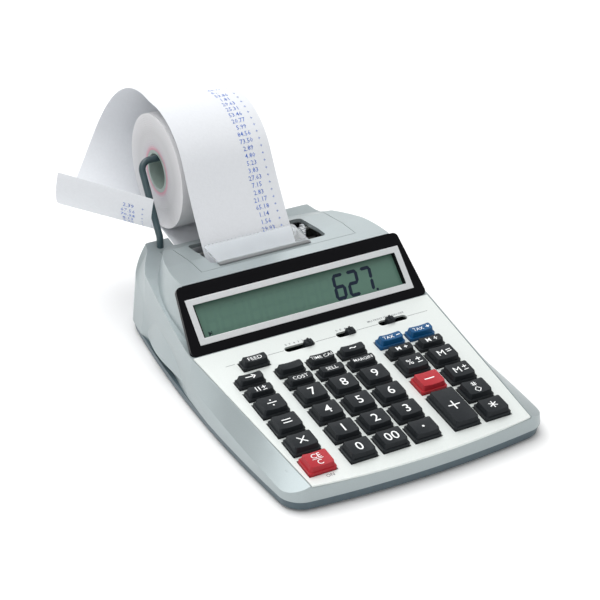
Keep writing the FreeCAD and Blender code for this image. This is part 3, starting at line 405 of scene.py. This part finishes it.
# Window frame and display --------------------------------------------------------------------------
WINDOW_ALONG = 19.0
WINDOW_WIDE, WINDOW_HIGH = 135.4, 26.4
WINDOW_RIM, WINDOW_RISE = 3.6, 0.5
bpy.ops.object.select_all(action="DESELECT")
bpy.ops.mesh.primitive_plane_add(size=1, location=(0, WINDOW_ALONG, 0))
window = bpy.context.active_object
window.scale = (WINDOW_WIDE, WINDOW_HIGH, 1)
bpy.ops.object.transform_apply(location=True, rotation=True, scale=True)
bpy.ops.object.mode_set(mode="EDIT")
bpy.ops.mesh.select_all(action="SELECT")
bpy.ops.mesh.inset(thickness=WINDOW_RIM, depth=0)
bpy.ops.mesh.delete(type="FACE")
bpy.ops.mesh.select_all(action="SELECT")
bpy.ops.mesh.extrude_region_move(TRANSFORM_OT_translate={"value": (0, 0, WINDOW_RISE)})
bpy.ops.mesh.select_all(action="SELECT")
bpy.ops.mesh.normals_make_consistent(inside=False)
bpy.ops.object.mode_set(mode="OBJECT")
edge = window.modifiers.new("edge", "BEVEL")
edge.width = 0.2
edge.segments = 2
bpy.ops.object.modifier_apply(modifier="edge")
settle(window, "window_frame", BEZEL, window_silver, "case")

DIGIT_PITCH = 8.95
DIGIT_HEIGHT = 15.2
DIGIT_WIDTH = 5.6
LEAN = math.radians(8)
BEZEL_THICK = 2.6
LCD_UP = -BEZEL_THICK + 0.008
SEGMENTS = {
    "a": (0, 1, 0), "b": (0.5, 0.5, 90), "c": (0.5, -0.5, 90), "d": (0, -1, 0), "e": (-0.5, -0.5, 90),
    "f": (-0.5, 0.5, 90), "g": (0, 0, 0),
}


def segment(x, y, length, turn):
    """One display segment: a bar with pointed ends."""
    bpy.ops.object.select_all(action="DESELECT")
    bpy.ops.mesh.primitive_circle_add(vertices=6, radius=1, fill_type="NGON")
    piece = bpy.context.active_object
    reach = length / 2
    corners = [(-reach, 0), (-reach + 1, 1), (reach - 1, 1), (reach, 0), (reach - 1, -1), (-reach + 1, -1)]
    for vertex, (cx, cy) in zip(piece.data.vertices, corners):
        vertex.co = (cx, cy, 0)
    piece.data.transform(Matrix.Rotation(math.radians(turn), 4, "Z"))
    piece.data.transform(Matrix.Translation((x, y, 0)))
    return piece


def digit(x, y, lit):
    """A seven-segment digit leaning to the right."""
    parts = []
    for name in lit:
        across, up, turn = SEGMENTS[name]
        length = DIGIT_WIDTH + 0.7 if turn == 0 else DIGIT_HEIGHT / 2 - 0.9
        parts.append(segment(across * DIGIT_WIDTH, up * (DIGIT_HEIGHT / 2 - 0.85), length, turn))
    piece = joined(parts)
    for vertex in piece.data.vertices:
        vertex.co.x += vertex.co.y * math.tan(LEAN) + x
        vertex.co.y += y
        vertex.co.z = LCD_UP
    return piece


LCD_MIDDLE = 18.2
LAST_DIGIT = 43.0
shown = {0: "abc", 1: "abged", 2: "acdefg"}
lit, ghosts = [], []
for i in range(12):
    x = LAST_DIGIT - i * DIGIT_PITCH
    if i in shown:
        lit.append(digit(x, LCD_MIDDLE, shown[i]))
    else:
        ghosts.append(digit(x, LCD_MIDDLE, "abcdefg"))
lit.append(dot(47.2, LCD_MIDDLE - DIGIT_HEIGHT / 2 + 0.6, 0.8, LCD_UP))
mark = lettering("M", 3.4, -58.5, 11.6, bold=0.06)
for vertex in mark.data.vertices:
    vertex.co.z = LCD_UP
lit.append(mark)
settle(joined(lit), "display_digits", BEZEL, segment_navy, "case")
settle(joined(ghosts), "display_rests", BEZEL, segment_ghost, "case")


# The paper strip -----------------------------------------------------------------------------------
EXIT_LEAN = math.radians(35)
EXIT_POINT = Vector((-8.1, 69.0, 58.0))
INK_UP = 0.06
ROW_PITCH = 4.3
AMOUNT_ACROSS, SIGN_ACROSS = 14.5, 23.0
# Length, turn and twist of each stretch of the loop, in millimetres and degrees
LOOP = [
    (50.0, -10.0, 2.5), (50.0, 66.0, 3.0), (74.0, 100.0, 45.0),
    (37.0, 53.0, 12.0), (40.0, 52.0, 1.0), (26.0, 51.0, -2.0),
]


def strip_path(step):
    """Middle, heading and width direction of the loop, at even steps from where it leaves the printer."""
    middle = EXIT_POINT.copy()
    heading = Vector((0, math.sin(EXIT_LEAN), math.cos(EXIT_LEAN)))
    wide = Vector((1, 0, 0))
    stations = [(middle.copy(), heading.copy(), wide.copy())]
    for length, turn, twist in LOOP:
        steps = round(length / step)
        for _ in range(steps):
            bend = Matrix.Rotation(math.radians(-turn / steps / 2), 3, wide)
            heading = bend @ heading
            middle = middle + heading * (length / steps)
            heading = bend @ heading
            wide = Matrix.Rotation(math.radians(twist / steps), 3, heading) @ wide
            stations.append((middle.copy(), heading.copy(), wide.copy()))
    return stations


stations = strip_path(8.0)
reach = [0.0]
for before, after in zip(stations, stations[1:]):
    reach.append(reach[-1] + (after[0] - before[0]).length)


def on_strip(across, along, up):
    """A point on the strip's printed face: a smooth curve through the stations."""
    along = min(max(along, 0.0), reach[-1] - 1e-6)
    i = max(k for k in range(len(reach) - 1) if reach[k] <= along)
    run = reach[i + 1] - reach[i]
    t = (along - reach[i]) / run
    p0, h0, w0 = stations[i]
    p1, h1, w1 = stations[i + 1]
    a, b = 2 * t ** 3 - 3 * t ** 2 + 1, t ** 3 - 2 * t ** 2 + t
    c, d = -2 * t ** 3 + 3 * t ** 2, t ** 3 - t ** 2
    middle = p0 * a + h0 * (run * b) + p1 * c + h1 * (run * d)
    wide = w0.lerp(w1, t).normalized()
    heading = h0.lerp(h1, t).normalized()
    face = wide.cross(heading).normalized()
    return middle + wide * across + face * up


random.seed(7)
rows = []
along = 6.0
while along < reach[-1] - 6.0:
    amount = "%d.%02d" % (random.choice([random.randint(1, 9), random.randint(10, 99)]), random.randint(10, 99))
    rows.append(lettering(amount, 3.9, AMOUNT_ACROSS, along, bold=0.02, resolution=1))
    rows.append(lettering("+", 3.0, SIGN_ACROSS, along, bold=0.01, resolution=1))
    along += ROW_PITCH
print_rows = joined(rows)
for vertex in print_rows.data.vertices:
    vertex.co = on_strip(vertex.co.x, vertex.co.y, PAPER_THICK / 2 + INK_UP)
settle(print_rows, "printed_rows", CASE, ink_blue, "case")

# Printer parts seen through the opening ------------------------------------------------------------
TOOTH_FOOT = 0.86
ROD_LEFT, ROD_RIGHT = -42.4, 36.4


def gear(x, y, z, outer, teeth, thick):
    """A small toothed wheel about the rollers' direction."""
    bpy.ops.object.select_all(action="DESELECT")
    bpy.ops.mesh.primitive_cylinder_add(
        vertices=teeth * 4, radius=outer, depth=thick, location=(x, y, z), rotation=(0, math.pi / 2, 0)
    )
    piece = bpy.context.active_object
    bpy.ops.object.transform_apply(location=False, rotation=True, scale=True)
    for vertex in piece.data.vertices:
        turn = math.atan2(vertex.co.z, vertex.co.y)
        if math.cos(turn * teeth) > 0:
            vertex.co.y *= TOOTH_FOOT
            vertex.co.z *= TOOTH_FOOT
    bpy.ops.object.transform_apply(location=True, rotation=False, scale=False)
    return piece


def rail(y, z, outer):
    """A chrome guide rod across the printer."""
    bpy.ops.object.select_all(action="DESELECT")
    bpy.ops.mesh.primitive_cylinder_add(
        vertices=24, radius=outer, depth=ROD_RIGHT - ROD_LEFT, location=((ROD_LEFT + ROD_RIGHT) / 2, y, z),
        rotation=(0, math.pi / 2, 0),
    )
    piece = bpy.context.active_object
    edge = piece.modifiers.new("edge", "BEVEL")
    edge.width = 0.3
    edge.segments = 2
    edge.limit_method = "ANGLE"
    bpy.ops.object.modifier_apply(modifier="edge")
    return piece


rods = [rail(75.5, 55.2, 1.0), rail(57.0, 55.6, 0.8)]
settle(joined(rods), "guide_rods", CASE, zinc_steel, "case")
gears = [
    gear(27.4, 71.0, 55.4, 3.6, 14, 1.6), gear(31.0, 76.5, 54.6, 3.0, 12, 1.4),
    gear(24.6, 76.0, 54.4, 2.6, 11, 1.4), gear(-38.6, 72.0, 54.6, 3.4, 13, 1.4),
]
settle(joined(gears), "drive_gears", CASE, wheel_silver, "case")

# Floor, light and camera ---------------------------------------------------------------------------
floor_white = finish("floor_white", (0.93, 0.93, 0.93), 0.9)
bpy.ops.object.select_all(action="DESELECT")
bpy.ops.mesh.primitive_plane_add(size=12, location=(0, 0, 0))
floor = bpy.context.active_object
floor.name = "floor"
floor.data.materials.append(floor_white)

world = bpy.data.worlds.new("studio")
bpy.context.scene.world = world
world.use_nodes = True
world.node_tree.nodes["Background"].inputs["Color"].default_value = (1, 1, 1, 1)
world.node_tree.nodes["Background"].inputs["Strength"].default_value = 0.60
bpy.context.scene.view_settings.view_transform = "Standard"


def softbox(name, place, target, wide, high, power):
    """A rectangular studio lamp aimed at a point."""
    bpy.ops.object.light_add(type="AREA", location=place)
    lamp = bpy.context.active_object
    lamp.name = name
    lamp.data.shape = "RECTANGLE"
    lamp.data.size = wide
    lamp.data.size_y = high
    lamp.data.energy = power
    lamp.rotation_euler = (Vector(target) - Vector(place)).to_track_quat("-Z", "Y").to_euler()


softbox("top_box", (-0.25, 0.35, 1.5), (0, 0, 0), 1.6, 1.6, 22)
softbox("front_box", (-1.2, -1.2, 1.0), (0, 0, 0.05), 1.0, 0.8, 4)
softbox("rear_box", (0.2, 1.5, 0.8), (0, 0.05, 0.05), 1.6, 0.6, 5)

CAMERA_PLACE = (-0.4544, -0.7856, 0.5471)
CAMERA_TILT, CAMERA_TURN = math.radians(61.4), math.radians(-29.3)
bpy.ops.object.camera_add(location=CAMERA_PLACE, rotation=(CAMERA_TILT, 0, CAMERA_TURN))
camera = bpy.context.active_object
camera.data.lens = 114
camera.data.sensor_width = 36
camera.data.clip_start = 0.01
bpy.context.scene.camera = camera

bpy.context.view_layer.update()
